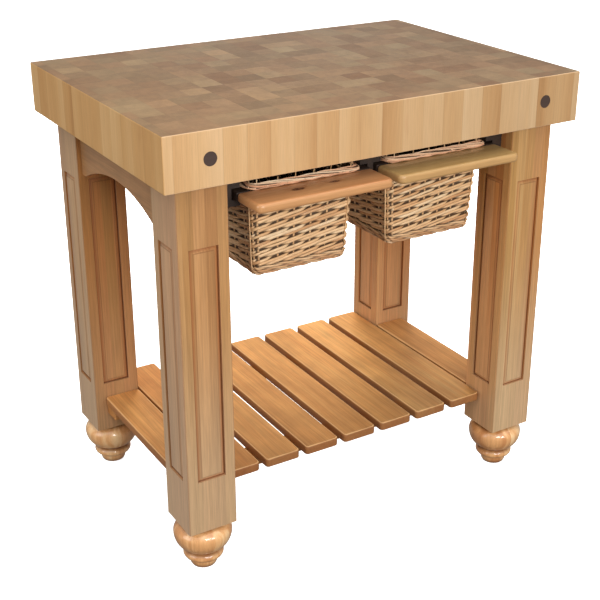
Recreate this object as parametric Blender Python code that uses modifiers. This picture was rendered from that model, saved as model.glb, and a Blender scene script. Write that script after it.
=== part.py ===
"""A butcher block table: an end-grain top on four panelled legs with bun feet, a slatted shelf,
and two wicker baskets that hang in wooden trays and slide out from under the top.

Metres, +Z up. The front, where the baskets pull out, faces -Y. Every piece is laid out from
the middle of the top, on an empty that stands a little behind the origin, so the origin is on the
floor under the middle of the whole footprint, with the baskets' front boards in it.
"""
import math

import bmesh
import bpy
from mathutils import Matrix, Vector

# The whole table and its top.
HEIGHT = 0.9144
TOP_WIDTH = 0.9144
TOP_DEPTH = 0.635
TOP_THICKNESS = 0.1016
TOP_EDGE_RADIUS = 0.002
GAP = 0.0003  # between pieces that touch

EASED_EDGE = 0.0015  # radius of a plain board's edges

# Legs.
LEG = 0.1016
LEG_INSET = 0.034  # from the edge of the top to the leg's outer face
LEG_EDGE_RADIUS = 0.0025
GROOVE_MARGIN = 0.0215  # from the leg's edge to the routed groove
GROOVE_DEPTH = 0.006
GROOVE_SLOPE = 0.010  # width of the groove's slope, up to the raised field
GROOVE_FOOT = 0.113  # from the leg's lower end to the groove
GROOVE_HEAD = 0.120  # from the leg's upper end to the groove

# Turned feet. The bun and the bead are arcs of ellipses, each with its centre and its half sizes
# given as (radius, height).
FOOT_HEIGHT = 0.106
FOOT_NECK_RADIUS = 0.031
FOOT_NECK_LOW = 0.1035
BUN_CENTRE = (0.0255, 0.0785)
BUN_SHOULDER = (0.033, 0.0235)
BUN_UNDERSIDE = (0.033, 0.0390)
BEAD_CENTRE = (0.0290, 0.0285)
BEAD = (0.0115, 0.0100)
FOOT_PAD = [(0.0275, 0.0150), (0.0265, 0.0060), (0.0235, 0.0)]

# Aprons.
APRON_THICKNESS = 0.022
APRON_INSET = 0.010  # from the leg's outer face to the apron's
APRON_DEPTH = 0.1078
ARCH_RISE = 0.038
ARCH_SHOULDER = 0.017

# Shelf.
SLAT_WIDTH = 0.0785
SLAT_THICKNESS = 0.019
SLAT_CORNER = 0.008
SLAT_EDGE_RADIUS = 0.003
LONG_SLATS = 7
SLAT_TO_LEG = 0.003
SHORT_SLAT_STEP = 0.001  # from the legs' inner faces out to the short slats
SHELF_HEIGHT = 0.187  # top of the slats above the floor
SHELF_FRONT = -0.234
SHELF_BACK = 0.2785
BATTEN_WIDTH = 0.043
BATTEN_THICKNESS = 0.022
BATTEN_SETBACK = 0.004  # from the short slats' outer edges to the battens' ends

# Bolts. Each bore is wider than its rod by BORE_CLEARANCE.
ROD_X = 0.370
ROD_RADIUS = 0.006
BORE_CLEARANCE = 0.0005
PLUG_RADIUS = 0.0127
PLUG_THICKNESS = 0.012
NUT_RADIUS = 0.0105
NUT_THICKNESS = 0.010
NUT_POCKET = 0.030  # depth of the counterbore for the plug and the nut
LEG_BOLT_RADIUS = 0.005
LEG_BOLT_IN_LEG = 0.050
LEG_BOLT_IN_TOP = 0.035
STUD_RADIUS = 0.00475
STUD_IN_FOOT = 0.030
STUD_IN_LEG = 0.040

# Basket trays, and the runners that they slide in.
TRAY_CENTRE_X = 0.152
TRAY_WIDTH = 0.286
TRAY_LENGTH = 0.527
TRAY_THICKNESS = 0.018
TRAY_TOP = 0.775
TRAY_RAIL = 0.028
TRAY_BACK_RAIL = 0.040
BOARD_DEPTH = 0.080
BOARD_CORNER = 0.012
BOARD_EDGE_RADIUS = 0.006
LEFT_TRAY_FRONT = -0.345  # where each tray's front edge stands at rest
RIGHT_TRAY_FRONT = -0.339
RUNNER_FRONT = -0.250
RUNNER_LEDGE = 0.012  # thickness of the ledge under the tray
RUNNER_SLOT = 0.0218  # height of the slot that the tray slides in
RUNNER_REACH = 0.017  # how far the ledge reaches in from the web
RUNNER_CLEARANCE = 0.0025  # between the tray's side and the web

# Wicker baskets.
BASKET_CLEARANCE = 0.003
BASKET_HEIGHT = 0.178  # from the tray's upper face down to the basket's base
BASKET_TAPER = 0.0105
BASKET_WALL = 0.007
BASKET_RIM_WIDTH = 0.012
BASKET_RIM_HEIGHT = 0.016
BASKET_CORNER = 0.012

LEG_X = TOP_WIDTH / 2 - LEG_INSET - LEG / 2
LEG_Y = TOP_DEPTH / 2 - LEG_INSET - LEG / 2
LEG_INNER_X = LEG_X - LEG / 2
LEG_INNER_Y = LEG_Y - LEG / 2
UNDERSIDE = HEIGHT - TOP_THICKNESS
TOP_MIDDLE = HEIGHT - TOP_THICKNESS / 2
TABLE_Y = -(LEFT_TRAY_FRONT + TOP_DEPTH / 2) / 2
LEG_TOP = UNDERSIDE - GAP
LEG_BOTTOM = FOOT_HEIGHT
CORNERS = {
    "front_left": (-1, -1),
    "front_right": (1, -1),
    "back_left": (-1, 1),
    "back_right": (1, 1),
}


def start_empty():
    """Removes the scene's objects. Makes collections for the pieces and for the cutters, and the
    empty that they all stand on."""
    for thing in list(bpy.data.objects):
        bpy.data.objects.remove(thing)
    pieces = bpy.data.collections.new("butcher_block_table")
    cutters = bpy.data.collections.new("cutters")
    for collection in (pieces, cutters):
        bpy.context.scene.collection.children.link(collection)
    table = bpy.data.objects.new("table", None)
    table.location.y = TABLE_Y
    pieces.objects.link(table)
    return pieces, cutters, table


PIECES, CUTTERS, TABLE = start_empty()


def make_material(name, colour, roughness, metallic=0.0):
    material = bpy.data.materials.new(name)
    material.use_nodes = True
    shader = material.node_tree.nodes["Principled BSDF"]
    shader.inputs["Base Color"].default_value = (*colour, 1.0)
    shader.inputs["Roughness"].default_value = roughness
    shader.inputs["Metallic"].default_value = metallic
    return material


END_GRAIN = make_material("end_grain_maple", (0.42, 0.27, 0.16), 0.55)
MAPLE = make_material("maple", (0.58, 0.37, 0.19), 0.45)
SHELF_MAPLE = make_material("shelf_maple", (0.60, 0.33, 0.13), 0.42)
GLOSSY_MAPLE = make_material("glossy_maple", (0.52, 0.29, 0.12), 0.22)
WALNUT = make_material("walnut", (0.06, 0.035, 0.025), 0.45)
PINE = make_material("pine", (0.62, 0.34, 0.15), 0.40)
WICKER = make_material("wicker", (0.50, 0.34, 0.20), 0.60)
STEEL = make_material("zinc_steel", (0.55, 0.55, 0.56), 0.35, 1.0)


def add_piece(name, data, location, material, rotation=(0, 0, 0), parent=TABLE):
    """Puts a mesh or a curve in the scene, at a location in its parent's frame."""
    piece = bpy.data.objects.new(name, data)
    piece.location = location
    piece.rotation_euler = rotation
    piece.parent = parent
    data.materials.append(material)
    PIECES.objects.link(piece)
    return piece


def finish_mesh(bm, name, smooth_angle=None):
    """Turns a bmesh into a mesh, shaded smooth under smooth_angle if one is given."""
    bmesh.ops.recalc_face_normals(bm, faces=bm.faces)
    if bm.calc_volume(signed=True) < 0:
        bmesh.ops.reverse_faces(bm, faces=bm.faces)
    mesh = bpy.data.meshes.new(name)
    bm.to_mesh(mesh)
    bm.free()
    if smooth_angle is not None:
        mesh.shade_smooth()
        mesh.set_sharp_from_angle(angle=smooth_angle)
    return mesh


def cube(size):
    bm = bmesh.new()
    bmesh.ops.create_cube(bm, size=1, matrix=Matrix.Diagonal((*size, 1)))
    return bm


def upright_edges(bm):
    """The edges that run along Z."""
    found = []
    for edge in bm.edges:
        along = edge.verts[1].co - edge.verts[0].co
        if abs(along.z) > 0.99 * along.length:
            found.append(edge)
    return found


def square_edges(bm):
    """The edges round the upper and lower faces."""
    found = []
    for edge in bm.edges:
        if edge.is_manifold and edge.calc_face_angle() > math.radians(80):
            found.append(edge)
    return found


def board(name, low, high, material, edge_radius=EASED_EDGE, corners=(), corner_radius=SLAT_CORNER,
          edge_steps=1, parent=TABLE):
    """A board between two corners, with its edges eased.

    corners lists the plan corners that are rounded, as signs such as (-1, -1).
    """
    low, high = Vector(low), Vector(high)
    bm = cube(high - low)
    rounded = []
    for edge in upright_edges(bm):
        middle = (edge.verts[0].co + edge.verts[1].co) / 2
        if (math.copysign(1, middle.x), math.copysign(1, middle.y)) in corners:
            rounded.append(edge)
    if rounded:
        bmesh.ops.bevel(bm, geom=rounded, offset=corner_radius, segments=4, affect="EDGES", profile=0.5)
    bmesh.ops.bevel(bm, geom=square_edges(bm), offset=edge_radius, segments=edge_steps, affect="EDGES",
                    profile=0.5)
    mesh = finish_mesh(bm, name, math.radians(50))
    return add_piece(name, mesh, (low + high) / 2, material, parent=parent)


def cylinder(name, radius, length, location, material, axis="Z", sides=24, cutter=False):
    """A cylinder, centred on location. A cutter goes in the cutters' collection."""
    bm = bmesh.new()
    bmesh.ops.create_cone(bm, cap_ends=True, segments=sides, radius1=radius, radius2=radius, depth=length)
    mesh = finish_mesh(bm, name, math.radians(40))
    rotation = (math.pi / 2, 0, 0) if axis == "Y" else (0, 0, 0)
    if not cutter:
        return add_piece(name, mesh, location, material, rotation)
    tool = bpy.data.objects.new(name, mesh)
    tool.location = location
    tool.rotation_euler = rotation
    tool.parent = TABLE
    tool.hide_render = True
    tool.display_type = "WIRE"
    CUTTERS.objects.link(tool)
    return tool


def cut(piece, tools):
    for tool in tools:
        modifier = piece.modifiers.new(tool.name, "BOOLEAN")
        modifier.operation = "DIFFERENCE"
        modifier.solver = "EXACT"
        modifier.object = tool


def flat_outline(name, points, thickness, location, rotation, material):
    """A board cut to an outline: a filled 2D curve, extruded by half its thickness each way."""
    curve = bpy.data.curves.new(name, "CURVE")
    curve.dimensions = "2D"
    curve.fill_mode = "BOTH"
    curve.extrude = thickness / 2
    spline = curve.splines.new("POLY")
    spline.points.add(len(points) - 1)
    for point, (x, y) in zip(spline.points, points):
        point.co = (x, y, 0, 1)
    spline.use_cyclic_u = True
    return add_piece(name, curve, location, material, rotation)


def turned(name, profile, location, material, steps):
    """A turned piece: a profile of (radius, height) points, swept round Z."""
    mesh = bpy.data.meshes.new(name)
    edges = [(i, i + 1) for i in range(len(profile) - 1)]
    mesh.from_pydata([(radius, 0, height) for radius, height in profile], edges, [])
    piece = add_piece(name, mesh, location, material)
    screw = piece.modifiers.new("turn", "SCREW")
    screw.steps = steps
    screw.render_steps = steps
    screw.use_merge_vertices = True
    screw.merge_threshold = 0.00001
    screw.use_smooth_shade = True
    return piece


def arc(centre_r, centre_z, width, height, start, end, steps):
    """Points on an ellipse's arc, in degrees from +X, as (radius, height) pairs."""
    points = []
    for i in range(steps + 1):
        angle = math.radians(start + (end - start) * i / steps)
        points.append((centre_r + width * math.cos(angle), centre_z + height * math.sin(angle)))
    return points


def top_block():
    """The end-grain top, bored for its two tie rods and for the four leg bolts."""
    bm = cube((TOP_WIDTH, TOP_DEPTH, TOP_THICKNESS))
    bmesh.ops.bevel(bm, geom=bm.edges[:], offset=TOP_EDGE_RADIUS, segments=2, affect="EDGES", profile=0.5)
    mesh = finish_mesh(bm, "butcher_block", math.radians(50))
    block = add_piece("butcher_block", mesh, (0, 0, TOP_MIDDLE), END_GRAIN)
    tools = []
    for side in (-1, 1):
        x = side * ROD_X
        through = TOP_DEPTH + 0.02
        tools.append(cylinder(f"rod_bore_{side}", ROD_RADIUS + BORE_CLEARANCE, through, (x, 0, TOP_MIDDLE),
                              None, "Y", 16, cutter=True))
        for end in (-1, 1):
            y = end * TOP_DEPTH / 2
            tools.append(cylinder(f"plug_bore_{side}_{end}", PLUG_RADIUS + GAP, 2 * NUT_POCKET,
                                  (x, y, TOP_MIDDLE), None, "Y", 32, cutter=True))
    for corner, (sx, sy) in CORNERS.items():
        depth = LEG_BOLT_IN_TOP + GAP
        tools.append(cylinder(f"leg_bolt_bore_{corner}", LEG_BOLT_RADIUS + BORE_CLEARANCE, 2 * depth,
                              (sx * LEG_X, sy * LEG_Y, UNDERSIDE), None, "Z", 16, cutter=True))
    cut(block, tools)


def tie_rods():
    """Two steel rods through the top, each with a nut at both ends under a walnut plug."""
    seat = TOP_DEPTH / 2 - NUT_POCKET  # where each counterbore ends
    for side, where in ((-1, "left"), (1, "right")):
        x = side * ROD_X
        cylinder(f"tie_rod_{where}", ROD_RADIUS, 2 * seat, (x, 0, TOP_MIDDLE), STEEL, "Y", 16)
        for end, face in ((-1, "front"), (1, "back")):
            nut_y = end * (seat + GAP + NUT_THICKNESS / 2)
            cylinder(f"rod_nut_{face}_{where}", NUT_RADIUS, NUT_THICKNESS, (x, nut_y, TOP_MIDDLE),
                     STEEL, "Y", 6)
            plug_y = end * (TOP_DEPTH / 2 - PLUG_THICKNESS / 2)
            cylinder(f"bolt_plug_{face}_{where}", PLUG_RADIUS, PLUG_THICKNESS, (x, plug_y, TOP_MIDDLE),
                     WALNUT, "Y", 32)


def leg_mesh():
    """A square leg with a raised panel routed into each of its four faces."""
    length = LEG_TOP - LEG_BOTTOM
    bm = cube((LEG, LEG, length))
    bmesh.ops.bevel(bm, geom=upright_edges(bm), offset=LEG_EDGE_RADIUS, segments=2, affect="EDGES",
                    profile=0.5)
    rim = GROOVE_MARGIN - LEG_EDGE_RADIUS
    low = -length / 2 + GROOVE_FOOT - rim
    high = length / 2 - GROOVE_HEAD + rim
    for height in (low, high):
        everything = bm.verts[:] + bm.edges[:] + bm.faces[:]
        bmesh.ops.bisect_plane(bm, geom=everything, plane_co=(0, 0, height), plane_no=(0, 0, 1))
    panels = []
    for face in bm.faces:
        level = face.calc_center_median().z
        square_on = max(abs(face.normal.x), abs(face.normal.y)) > 0.999
        if square_on and low < level < high:
            panels.append(face)
    bmesh.ops.inset_individual(bm, faces=panels, thickness=rim, use_even_offset=True)
    sunk = bmesh.ops.extrude_discrete_faces(bm, faces=panels)["faces"]
    for face in sunk:
        bmesh.ops.translate(bm, verts=face.verts, vec=-GROOVE_DEPTH * face.normal)
    bmesh.ops.inset_individual(bm, faces=sunk, thickness=GROOVE_SLOPE, depth=GROOVE_DEPTH,
                               use_even_offset=True)
    return finish_mesh(bm, "leg", math.radians(20))


def foot_profile():
    """From the stud's hole, over the bun, the bead and the pad, to the floor."""
    hole = STUD_RADIUS + BORE_CLEARANCE
    top = FOOT_HEIGHT - GAP
    points = [(0, top - STUD_IN_FOOT - GAP), (hole, top - STUD_IN_FOOT - GAP), (hole, top)]
    points += [(FOOT_NECK_RADIUS, top), (FOOT_NECK_RADIUS, FOOT_NECK_LOW)]
    points += arc(*BUN_CENTRE, *BUN_SHOULDER, 78, 0, 6)
    points += arc(*BUN_CENTRE, *BUN_UNDERSIDE, -12, -66, 5)
    points += arc(*BEAD_CENTRE, *BEAD, 65, -50, 5)
    return points + FOOT_PAD + [(0, 0)]


def legs_and_feet():
    shared = leg_mesh()
    middle = (LEG_TOP + LEG_BOTTOM) / 2
    profile = foot_profile()
    for corner, (sx, sy) in CORNERS.items():
        x, y = sx * LEG_X, sy * LEG_Y
        leg = add_piece(f"leg_{corner}", shared.copy(), (x, y, middle), MAPLE)
        bolt_hole = cylinder(f"leg_top_bore_{corner}", LEG_BOLT_RADIUS + BORE_CLEARANCE,
                             2 * (LEG_BOLT_IN_LEG + GAP), (x, y, LEG_TOP), None, "Z", 16, cutter=True)
        stud_hole = cylinder(f"leg_foot_bore_{corner}", STUD_RADIUS + BORE_CLEARANCE,
                             2 * (STUD_IN_LEG + GAP), (x, y, LEG_BOTTOM), None, "Z", 16, cutter=True)
        cut(leg, [bolt_hole, stud_hole])
        bolt_length = LEG_BOLT_IN_LEG + LEG_BOLT_IN_TOP
        bolt_middle = UNDERSIDE + (LEG_BOLT_IN_TOP - LEG_BOLT_IN_LEG) / 2
        cylinder(f"leg_bolt_{corner}", LEG_BOLT_RADIUS, bolt_length, (x, y, bolt_middle), STEEL, "Z", 16)
        stud_middle = LEG_BOTTOM + (STUD_IN_LEG - STUD_IN_FOOT) / 2
        cylinder(f"foot_stud_{corner}", STUD_RADIUS, STUD_IN_LEG + STUD_IN_FOOT, (x, y, stud_middle),
                 STEEL, "Z", 16)
        turned(f"foot_{corner}", profile, (x, y, 0), GLOSSY_MAPLE, 32)


def apron_outline(half_length):
    """A board with an arch cut in its lower edge, as (along, height) points."""
    top = UNDERSIDE - GAP
    low = top - APRON_DEPTH
    half_arch = half_length - ARCH_SHOULDER
    radius = (half_arch ** 2 + ARCH_RISE ** 2) / (2 * ARCH_RISE)
    half_angle = math.degrees(math.asin(half_arch / radius))
    arch_centre = low + ARCH_RISE - radius
    arch = arc(0, arch_centre, radius, radius, 90 + half_angle, 90 - half_angle, 20)
    return [(-half_length, top), (-half_length, low), *arch, (half_length, low), (half_length, top)]


def aprons():
    """Arched boards between the legs at both sides and at the back. The front is left open."""
    side_points = apron_outline(LEG_INNER_Y - GAP)
    side_x = LEG_X + LEG / 2 - APRON_INSET - APRON_THICKNESS / 2
    quarter = math.pi / 2
    for side, where in ((-1, "left"), (1, "right")):
        flat_outline(f"side_apron_{where}", side_points, APRON_THICKNESS, (side * side_x, 0, 0),
                     (quarter, 0, quarter), MAPLE)
    back_points = apron_outline(LEG_INNER_X - GAP)
    back_y = LEG_Y + LEG / 2 - APRON_INSET - APRON_THICKNESS / 2
    flat_outline("back_apron", back_points, APRON_THICKNESS, (0, back_y, 0), (quarter, 0, 0), MAPLE)


def slat(number, x, front, back):
    low = (x - SLAT_WIDTH / 2, front, SHELF_HEIGHT - SLAT_THICKNESS)
    high = (x + SLAT_WIDTH / 2, back, SHELF_HEIGHT)
    board(f"shelf_slat_{number}", low, high, SHELF_MAPLE, SLAT_EDGE_RADIUS, list(CORNERS.values()),
          SLAT_CORNER, 2)


def shelf():
    """Seven long slats between the legs, a short one between each pair of legs, on two battens."""
    outermost = LEG_INNER_X - SLAT_TO_LEG - SLAT_WIDTH / 2
    pitch = 2 * outermost / (LONG_SLATS - 1)
    for i in range(LONG_SLATS):
        slat(i + 2, -outermost + i * pitch, SHELF_FRONT, SHELF_BACK)
    short_x = LEG_INNER_X + SHORT_SLAT_STEP + SLAT_WIDTH / 2
    short_end = LEG_INNER_Y - GAP
    slat(1, -short_x, -short_end, short_end)
    slat(LONG_SLATS + 2, short_x, -short_end, short_end)
    high = SHELF_HEIGHT - SLAT_THICKNESS - GAP
    reach = short_x + SLAT_WIDTH / 2 - BATTEN_SETBACK
    outer = LEG_INNER_Y - GAP
    inner = outer - BATTEN_WIDTH
    for name, low_y, high_y in (("front", -outer, -inner), ("rear", inner, outer)):
        board(f"shelf_batten_{name}", (-reach, low_y, high - BATTEN_THICKNESS), (reach, high_y, high),
              SHELF_MAPLE)


def runners():
    """Grooved strips under the top that carry the trays' sides."""
    ledge_top = TRAY_TOP - TRAY_THICKNESS - GAP
    ledge_low = ledge_top - RUNNER_LEDGE
    slot_top = ledge_top + RUNNER_SLOT
    top = UNDERSIDE - GAP
    back = LEG_Y + LEG / 2 - APRON_INSET - APRON_THICKNESS - GAP
    middle_y = (RUNNER_FRONT + back) / 2
    length = back - RUNNER_FRONT
    wall = LEG_INNER_X - GAP
    web = TRAY_CENTRE_X + TRAY_WIDTH / 2 + RUNNER_CLEARANCE
    tip = web - RUNNER_REACH
    side_section = [(wall, ledge_low), (wall, top), (tip, top), (tip, slot_top), (web, slot_top),
                    (web, ledge_top), (tip, ledge_top), (tip, ledge_low)]
    upright = (math.pi / 2, 0, 0)
    for side, where in ((-1, "left"), (1, "right")):
        section = [(side * x, z) for x, z in side_section]
        flat_outline(f"runner_{where}", section, length, (0, middle_y, 0), upright, MAPLE)
    half_web = TRAY_CENTRE_X - TRAY_WIDTH / 2 - RUNNER_CLEARANCE
    half_tip = half_web + RUNNER_REACH
    half_section = [(half_tip, ledge_low), (half_tip, ledge_top), (half_web, ledge_top),
                    (half_web, slot_top), (half_tip, slot_top), (half_tip, top)]
    section = half_section + [(-x, z) for x, z in reversed(half_section)]
    flat_outline("runner_centre", section, length, (0, middle_y, 0), upright, MAPLE)


def rounded_loop(bm, half_x, half_y, radius, height, corner_steps=4):
    """Vertices round a rectangle with round corners, at one height."""
    verts = []
    for sx, sy, start in ((1, 1, 0), (-1, 1, 90), (-1, -1, 180), (1, -1, 270)):
        centre = (sx * (half_x - radius), sy * (half_y - radius))
        for x, y in arc(*centre, radius, radius, start, start + 90, corner_steps):
            verts.append(bm.verts.new((x, y, height)))
    return verts


def wicker_basket(name, centre_y, parent):
    """A hollow tapered basket with its rim turned out, so that it hangs in the tray."""
    half_x = TRAY_WIDTH / 2 - TRAY_RAIL - BASKET_CLEARANCE
    half_y = (TRAY_LENGTH - BOARD_DEPTH - TRAY_BACK_RAIL) / 2 - BASKET_CLEARANCE
    rim_low = GAP
    rim_high = rim_low + BASKET_RIM_HEIGHT
    base = -BASKET_HEIGHT
    rim_corner = BASKET_CORNER + BASKET_RIM_WIDTH
    inner_corner = BASKET_CORNER - BASKET_WALL
    # Each loop is (how far outside the wall's upper outer face, corner radius, height), from the
    # base outside, over the rim, to the base inside.
    loops = [
        (-BASKET_TAPER, BASKET_CORNER, base),
        (0, BASKET_CORNER, rim_low),
        (BASKET_RIM_WIDTH, rim_corner, rim_low),
        (BASKET_RIM_WIDTH, rim_corner, rim_high),
        (-BASKET_WALL, inner_corner, rim_high),
        (-BASKET_TAPER - BASKET_WALL, inner_corner, base + BASKET_WALL),
    ]
    bm = bmesh.new()
    rings = []
    for outside, radius, height in loops:
        rings.append(rounded_loop(bm, half_x + outside, half_y + outside, radius, height))
    for lower, upper in zip(rings, rings[1:]):
        for i, corner in enumerate(lower):
            bm.faces.new((lower[i - 1], corner, upper[i], upper[i - 1]))
    for ring in (rings[0], rings[-1]):
        bm.faces.new(ring)
    mesh = finish_mesh(bm, name, math.radians(50))
    add_piece(name, mesh, (0, centre_y, 0), WICKER, parent=parent)


def basket_tray(side, where, front):
    """One tray: a front board, two side rails and a back rail, with the basket hung in it.

    Its pieces ride on an empty at the front edge, on the tray's upper face.
    """
    slide = bpy.data.objects.new(f"{where}_basket_slide", None)
    slide.location = (side * TRAY_CENTRE_X, front, TRAY_TOP)
    slide.parent = TABLE
    PIECES.objects.link(slide)
    half = TRAY_WIDTH / 2
    inner = half - TRAY_RAIL
    low = -TRAY_THICKNESS
    board(f"{where}_basket_front_board", (-half, 0, low), (half, BOARD_DEPTH, 0), PINE, BOARD_EDGE_RADIUS,
          [(-1, -1), (1, -1)], BOARD_CORNER, 3, parent=slide)
    rail_front = BOARD_DEPTH + GAP
    for end, hand in ((-1, "left"), (1, "right")):
        across = sorted((end * half, end * inner))
        board(f"{where}_basket_{hand}_rail", (across[0], rail_front, low), (across[1], TRAY_LENGTH, 0),
              PINE, parent=slide)
    board(f"{where}_basket_back_rail", (-inner + GAP, TRAY_LENGTH - TRAY_BACK_RAIL, low),
          (inner - GAP, TRAY_LENGTH, 0), PINE, parent=slide)
    opening_middle = (BOARD_DEPTH + TRAY_LENGTH - TRAY_BACK_RAIL) / 2
    wicker_basket(f"{where}_basket_wicker", opening_middle, slide)


top_block()
tie_rods()
legs_and_feet()
aprons()
shelf()
runners()
basket_tray(-1, "left", LEFT_TRAY_FRONT)
basket_tray(1, "right", RIGHT_TRAY_FRONT)
bpy.context.view_layer.update()
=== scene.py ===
"""The look of the butcher block table: woods, wicker, feet, studio and camera, on the CAD frame."""
import math
import random

import bmesh
import bpy
from mathutils import Matrix, Vector


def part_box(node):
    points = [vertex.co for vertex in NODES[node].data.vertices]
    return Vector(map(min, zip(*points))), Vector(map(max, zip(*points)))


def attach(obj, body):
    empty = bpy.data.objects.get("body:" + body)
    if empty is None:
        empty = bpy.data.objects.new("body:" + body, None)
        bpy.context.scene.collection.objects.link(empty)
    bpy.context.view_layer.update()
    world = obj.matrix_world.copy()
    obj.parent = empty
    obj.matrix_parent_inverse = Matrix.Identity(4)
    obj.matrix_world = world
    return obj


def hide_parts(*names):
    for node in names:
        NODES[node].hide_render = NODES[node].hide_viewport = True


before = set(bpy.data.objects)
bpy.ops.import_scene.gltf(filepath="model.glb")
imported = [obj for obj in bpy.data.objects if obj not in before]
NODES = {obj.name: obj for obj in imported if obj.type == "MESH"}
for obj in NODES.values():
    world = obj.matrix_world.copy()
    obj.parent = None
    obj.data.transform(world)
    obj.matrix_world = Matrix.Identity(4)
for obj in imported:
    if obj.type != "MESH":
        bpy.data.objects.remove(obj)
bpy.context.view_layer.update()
SCENE = bpy.context.scene
CORNERS = ("front_left", "front_right", "back_left", "back_right")
LEGS = [f"leg_{corner}" for corner in CORNERS]
SLATS = [f"shelf_slat_{number}" for number in range(1, 10)]
TRAY_RAILS = ("left_rail", "right_rail", "back_rail")

BLOCK_LOW, BLOCK_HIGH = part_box("butcher_block")
TABLE_Y = (BLOCK_LOW.y + BLOCK_HIGH.y) / 2  # the top's middle, behind the origin
LEG_LOW, LEG_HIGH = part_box("leg_back_right")
LEG_MIDDLE = (LEG_LOW + LEG_HIGH) / 2 - Vector((0, TABLE_Y, 0))
LEG_HALF = (LEG_HIGH.x - LEG_LOW.x) / 2
SLAT_LOW, SLAT_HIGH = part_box("shelf_slat_2")
SLAT_PITCH = (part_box("shelf_slat_8")[0].x - SLAT_LOW.x) / 6
SLAT_GAP = SLAT_PITCH - (SLAT_HIGH.x - SLAT_LOW.x)
WICKER_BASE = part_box("left_basket_wicker")[0].z

# Noise cells per metre, along a wood's grain and across it.
BAND_SCALES = (3.0, 55.0)
PORE_SCALES = (18.0, 750.0)
STREAK_SCALES = (5.0, 230.0)
LEG_STREAK_SCALES = (5.0, 260.0)
GRAIN_SHIFT = (9.0, 9.0, 9.0)  # metres that one piece's grain may be away from the next one's
PORE_REACH = (0.25, 0.75)  # the pore noise's values that shade the wood


def srgb(red, green, blue):
    """A linear colour from 0 to 255 values."""
    def linear(value):
        value /= 255
        return value / 12.92 if value <= 0.04045 else ((value + 0.055) / 1.055) ** 2.4
    return (linear(red), linear(green), linear(blue), 1.0)


WHITE = srgb(255, 255, 255)


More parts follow.
